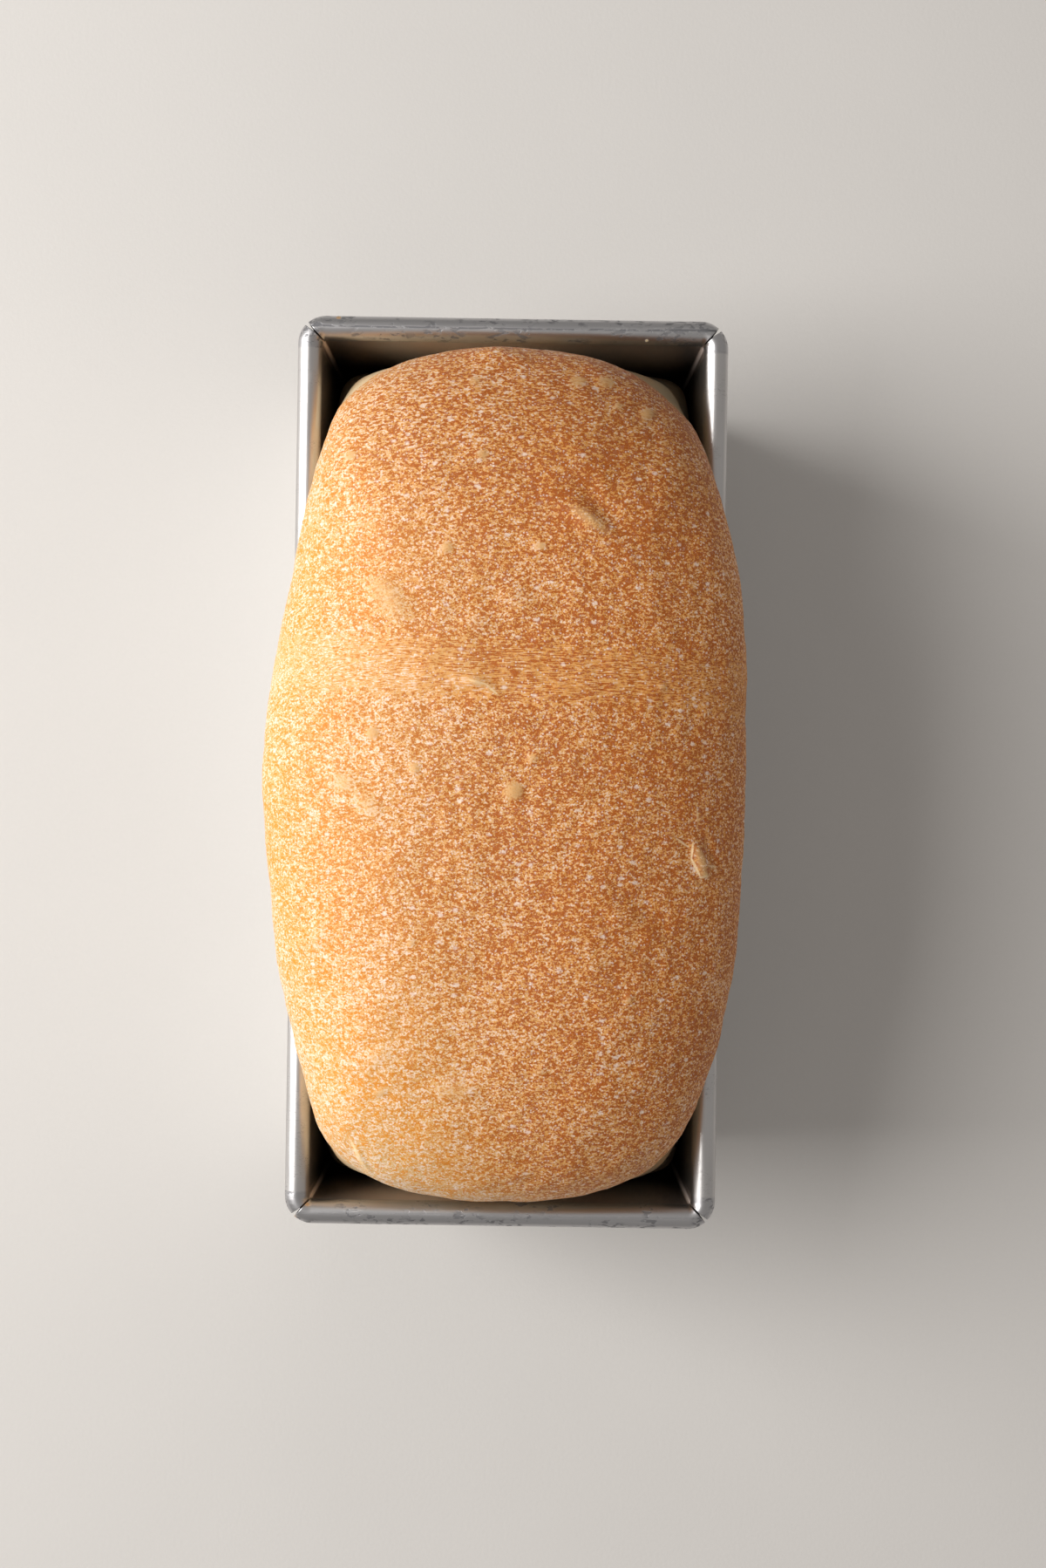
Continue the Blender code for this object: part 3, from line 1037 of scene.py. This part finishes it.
def tin_bmesh(tin):
    """The base inside the tin, whose border is extruded up the walls, over the roll and down."""
    bm = bmesh.new()
    half = Vector((tin.mouth_width, tin.mouth_length)) / 2
    size = Matrix.Diagonal((half.x, half.y, 1, 1))
    bmesh.ops.create_grid(bm, x_segments=1, y_segments=1, size=1.0, matrix=size)
    bmesh.ops.bevel(
        bm,
        geom=bm.verts[:],
        offset=INNER_CORNER,
        offset_type="OFFSET",
        segments=CORNER_CUTS,
        profile=0.5,
        affect="VERTICES",
        material=-1,
    )
    long_edges = [edge for edge in bm.edges if edge.calc_length() > 10 * INNER_CORNER]
    bmesh.ops.subdivide_edges(bm, edges=long_edges, cuts=SIDE_CUTS)
    middle_of = bm.verts.layers.float_vector.new("middle")
    out_of = bm.verts.layers.float_vector.new("out")
    seam_of = bm.verts.layers.float.new("seam")
    inner_of = bm.verts.layers.float.new("inner")
    core = half - Vector((INNER_CORNER, INNER_CORNER))
    for vertex in bm.verts:
        x = max(-core.x, min(core.x, vertex.co.x))
        y = max(-core.y, min(core.y, vertex.co.y))
        out = (vertex.co - Vector((x, y, 0))).normalized()
        vertex[middle_of] = (x, y, 0)
        vertex[out_of] = out
        vertex[inner_of] = 1.0
        vertex.co = tin_place(tin, vertex[middle_of], out, -INNER_FOOT, tin.sheet)
    border = [edge for edge in bm.edges if edge.is_boundary]
    for out, z, turn in tin_profile(tin):

        def settle(vertex):
            place_on_tin(tin, vertex, vertex[middle_of], vertex[out_of], out, z, turn, seam_of)
            vertex[inner_of] = 1.0 if turn is None and out <= 0 else 0.0

        border = grow_row(bm, border, settle)
    bmesh.ops.holes_fill(bm, edges=border, sides=0)
    bmesh.ops.recalc_face_normals(bm, faces=bm.faces)
    return bm


def tin_place(tin, middle, heading, out, z):
    """A point of the tin: out from the inner face of the wall, which leans."""
    lean = tin.lean * (1 - z / tin.height)
    inward = Vector((math.copysign(lean, middle.x), math.copysign(lean, middle.y), 0))
    flat = middle - inward + heading * (INNER_CORNER + out)
    return Vector((flat.x, flat.y, z))


def place_on_tin(tin, vertex, middle, heading, out, z, turn, seam_of):
    """Puts a vertex on its row, draws it in at a mitre, and stores how much of a seam is there."""
    diagonal = Vector((math.copysign(1, middle.x), math.copysign(1, middle.y), 0)).normalized()
    at_corner = abs(heading.x) > 1e-4 and abs(heading.y) > 1e-4
    from_mitre = heading.angle(diagonal) if at_corner else QUARTER
    vertex[seam_of] = 0.0
    if turn is not None:
        drawn = mitre_groove(tin, out, from_mitre, turn) if at_corner else 0.0
        middle_out = tin.bead_radius - BEAD_PROUD
        middle_up = tin.height - tin.bead_radius
        out = middle_out + (out - middle_out) * (1 - drawn)
        z = middle_up + (z - middle_up) * (1 - drawn)
        vertex[seam_of] = drawn
    elif out <= 0:
        vertex[seam_of] = 0.9 * (1 - smooth_step(0.2, 0.6, from_mitre))
    vertex.co = tin_place(tin, middle, heading, out, z)


def rim_wear(metal, tin, y, cloudy, dots, on_end):
    """A broken line along the crest of the end rolls, specks beside it and hair scratches."""
    crest_place = tin.mouth_length / 2 + tin.bead_radius - BEAD_PROUD
    from_crest = abs(abs(y) - crest_place + (cloudy - 0.5) * 0.0012)
    broken = metal.noise(1.0, 3.0, 0.65, 0.0, metal.stretched(*BREAKS))
    line = (1 - from_crest.rise(0.00012, 0.00040)) * broken.rise(0.43, 0.50)
    line = line * (0.25 + 0.75 * y.rise(-0.01, 0.01))
    patch = metal.noise(WORN_PATCHES, 2.0, 0.5)
    specks = dots.rise(0.52, 0.60) * patch.rise(0.44, 0.56) * on_end
    hair = metal.noise(1.0, 1.0, 0.5, 0.6, metal.stretched(*HAIRS))
    scratch = (1 - abs(hair - 0.5).rise(0.006, 0.020)) * patch.rise(0.52, 0.64) * 0.45
    return line + specks * 0.8 + scratch


def add_residue(metal, tint, stain_and_slit_shade, dots):
    """The tint and the seam stain with its painted slit shade, with the baked-on drops on them."""
    for place, radius in RESIDUE:
        sockets = {0: metal.place, 1: place}
        away = metal.node("ShaderNodeVectorMath", {"operation": "DISTANCE"}, sockets, "Value")
        left = 1 - (away + (dots - 0.5) * 0.0030).rise(radius * 0.7, radius)
        tint = metal.blend(tint, BAKED_DROP, left * 0.85)
        stain_and_slit_shade = (stain_and_slit_shade + left).at_most(1.0)
    return tint, stain_and_slit_shade


def tin_finish(tin):
    """Satin sheet metal, scuffed along the rim and baked brown in its seams, with painted shade, light
    and reflection inside and on the rolls.
    """
    metal = Finish("satin_tin")
    _, y, z = metal.axes()
    inner = metal.attribute("inner")
    cloudy = metal.noise(CLOUDS, 3.0, 0.55)
    dots = metal.noise(DOTS, 2.0, 0.5, 0.3, metal.stretched(0.5, 1.0, 1.0))
    along_y = metal.noise(1.0, 3.0, 0.6, 0.0, metal.stretched(*GRAIN_ALONG_Y))
    along_x = metal.noise(1.0, 3.0, 0.6, 0.0, metal.stretched(*GRAIN_ALONG_X))
    on_end = abs(y).rise(tin.mouth_length / 2 - 0.0030, tin.mouth_length / 2 - 0.0022)
    drawn = along_y + (along_x - along_y) * on_end
    top = z.rise(tin.height - 0.0045, tin.height - 0.0015)
    worn = (rim_wear(metal, tin, y, cloudy, dots, on_end) * top).at_most(1.0)

    # seam stain, which in the mitre grooves is also painted shade for the open slit
    stain_and_slit_shade = metal.attribute("seam").rise(0.10, 0.55)
    tint = metal.blend(tin.metal, DULL_METAL, (cloudy - 0.4) * 0.7)
    # painted dim reflection on the rolls, stronger on the end rolls
    tint = metal.blend(tint, PAINTED_ROLL_REFLECTION, top * (0.40 + on_end * 0.35))
    tint = metal.blend(tint, BRIGHT_GRAIN, (drawn - 0.55).rise(0.0, 0.25) * 0.35)
    tint = metal.blend(tint, tin.scuff, worn * 0.75)
    tint = metal.blend(tint, SEAM_STAIN_AND_SLIT_SHADE, stain_and_slit_shade * 0.92)
    # painted shade down the inner walls, darker from 9 mm to 40 mm below the rim
    depth_shade = inner * (0 - z).rise(-tin.height + 0.009, -tin.height + 0.040)
    # painted shade on the inner side walls and painted light on the inner end walls
    tint = metal.blend(tint, PAINTED_SIDE_WALL_SHADE, inner * (1 - on_end) * 0.45)
    tint = metal.blend(tint, PAINTED_END_WALL_LIGHT, inner * on_end * 0.75)
    tint = metal.blend(tint, PAINTED_DEPTH_SHADE, depth_shade * 0.94)
    tint, stain_and_slit_shade = add_residue(metal, tint, stain_and_slit_shade, dots)

    distance, chance = metal.cells(CRUMBS)
    crumbs = (1 - distance.rise(0.06, 0.12)) * chance.rise(0.965, 0.975) * top
    tint = metal.blend(tint, PALE_CRUMB, crumbs)

    rough = 0.34 + (cloudy - 0.5) * 0.10 + (drawn - 0.5) * 0.16 + worn * 0.22 + stain_and_slit_shade * 0.25
    surface = metal.bump(drawn, 0.00002, 0.55)
    surface = metal.bump(1 - worn * 0.6 + crumbs, 0.00008, 0.6, surface)
    metal.set(
        Base_Color=tint,
        Roughness=rough,
        Metallic=1 - (stain_and_slit_shade * 0.75 + crumbs).at_most(1.0),
        Normal=surface,
    )
    return metal.material


# ---- the stage ----

FLOOR_REACH = 4.0  # how far the floor goes to each side
CAMERA_SIDEWAYS = (0.0044, -0.0030)  # of the camera from the middle of the tin, along x and y
CAMERA_TURN = math.radians(0.9)
SENSOR_WIDTH = 36.0  # in millimetres
ROOM_TINT = (1.0, 0.955, 0.91)
WINDOW_PLACE = (-1.00, 0.15, 0.90)
WINDOW_TARGET = (0.0, 0.0, 0.11)
WINDOW_SIZE = (0.80, 1.30)
WINDOW_TINT = (1.0, 0.985, 0.96)


def floor_finish(stage):
    """A plain matt floor with a faint mottle."""
    floor = Finish("pale_floor")
    mottle = floor.noise(14.0, 4.0, 0.55)
    grain = floor.noise(900.0, 2.0, 0.5)
    shade = 0.97 + (mottle - 0.5) * 0.05 + (grain - 0.5) * 0.03
    floor.set(
        Base_Color=floor.times(stage.floor, shade),
        Roughness=0.80 + (mottle - 0.5) * 0.08,
        Normal=floor.bump(grain, 0.0002, 0.2),
    )
    return floor.material


def add_floor(stage):
    bm = bmesh.new()
    bmesh.ops.create_grid(bm, x_segments=8, y_segments=8, size=FLOOR_REACH)
    mesh = bpy.data.meshes.new("floor")
    bm.to_mesh(mesh)
    bm.free()
    mesh.materials.append(floor_finish(stage))
    floor = bpy.data.objects.new("floor", mesh)
    bpy.context.scene.collection.objects.link(floor)


def add_window_light(stage):
    """One large soft light on the left."""
    light = bpy.data.lights.new("window", "AREA")
    light.shape = "RECTANGLE"
    light.size, light.size_y = WINDOW_SIZE
    light.energy = stage.key_power
    light.color = WINDOW_TINT
    lamp = bpy.data.objects.new("window", light)
    lamp.location = WINDOW_PLACE
    towards = Vector(WINDOW_TARGET) - Vector(WINDOW_PLACE)
    lamp.rotation_euler = towards.to_track_quat("-Z", "Y").to_euler()
    bpy.context.scene.collection.objects.link(lamp)


def add_camera(stage):
    """Straight above the loaf, turned by a hair."""
    camera = bpy.data.cameras.new("camera")
    camera.lens = stage.lens
    camera.sensor_width = SENSOR_WIDTH
    camera.clip_start = 0.01
    eye = bpy.data.objects.new("camera", camera)
    eye.location = (*CAMERA_SIDEWAYS, stage.camera_height)
    eye.rotation_euler = (0.0, 0.0, CAMERA_TURN)
    bpy.context.scene.collection.objects.link(eye)
    bpy.context.scene.camera = eye


def light_room(stage):
    """Even warm light from all around."""
    world = bpy.data.worlds.new("room")
    world.use_nodes = True
    background = world.node_tree.nodes["Background"]
    background.inputs["Color"].default_value = (*ROOM_TINT, 1.0)
    background.inputs["Strength"].default_value = stage.fill_strength
    bpy.context.scene.world = world
    bpy.context.scene.view_settings.view_transform = "Standard"


# ---- operators and panel ----


class TINLOAF_OT_bread(Operator):
    """Builds the loaf with its crust"""

    bl_idname = "tinloaf.bread"
    bl_label = "Loaf"

    def execute(self, context):
        loaf, tin = context.scene.tinloaf_loaf, context.scene.tinloaf_tin
        add_piece(loaf_bmesh(loaf, tin), "loaf_crust", "loaf", crust_finish(loaf, tin))
        return {"FINISHED"}


class TINLOAF_OT_tin(Operator):
    """Builds the loaf tin with its rolled rim"""

    bl_idname = "tinloaf.tin"
    bl_label = "Loaf tin"

    def execute(self, context):
        tin = context.scene.tinloaf_tin
        add_piece(tin_bmesh(tin), "rolled_rim_tin", "loaf_tin", tin_finish(tin))
        return {"FINISHED"}


class TINLOAF_OT_stage(Operator):
    """Adds the floor, the lights and the camera"""

    bl_idname = "tinloaf.stage"
    bl_label = "Stage"

    def execute(self, context):
        stage = context.scene.tinloaf_stage
        add_floor(stage)
        add_camera(stage)
        light_room(stage)
        add_window_light(stage)
        return {"FINISHED"}


class TINLOAF_PT_panel(Panel):
    """The loaf's settings and its operators"""

    bl_idname = "TINLOAF_PT_panel"
    bl_label = "Tin Loaf"
    bl_space_type = "VIEW_3D"
    bl_region_type = "UI"
    bl_category = "Tin Loaf"

    def draw(self, context):
        groups = (
            (TINLOAF_OT_bread, context.scene.tinloaf_loaf),
            (TINLOAF_OT_tin, context.scene.tinloaf_tin),
            (TINLOAF_OT_stage, context.scene.tinloaf_stage),
        )
        for operator, settings in groups:
            box = self.layout.box()
            for name in settings.bl_rna.properties.keys():
                if name not in ("rna_type", "name"):
                    box.prop(settings, name)
            box.operator(operator.bl_idname)


SETTINGS = {
    "tinloaf_tin": TinSettings,
    "tinloaf_loaf": LoafSettings,
    "tinloaf_stage": StageSettings,
}
CLASSES = (
    *SETTINGS.values(),
    TINLOAF_OT_bread,
    TINLOAF_OT_tin,
    TINLOAF_OT_stage,
    TINLOAF_PT_panel,
)


def register():
    for made in CLASSES:
        bpy.utils.register_class(made)
    for name, group in SETTINGS.items():
        setattr(bpy.types.Scene, name, PointerProperty(type=group))


def unregister():
    for name in SETTINGS:
        delattr(bpy.types.Scene, name)
    for made in reversed(CLASSES):
        bpy.utils.unregister_class(made)


def main():
    register()
    bpy.ops.tinloaf.bread()
    bpy.ops.tinloaf.tin()
    bpy.ops.tinloaf.stage()


if __name__ == "__main__":
    main()
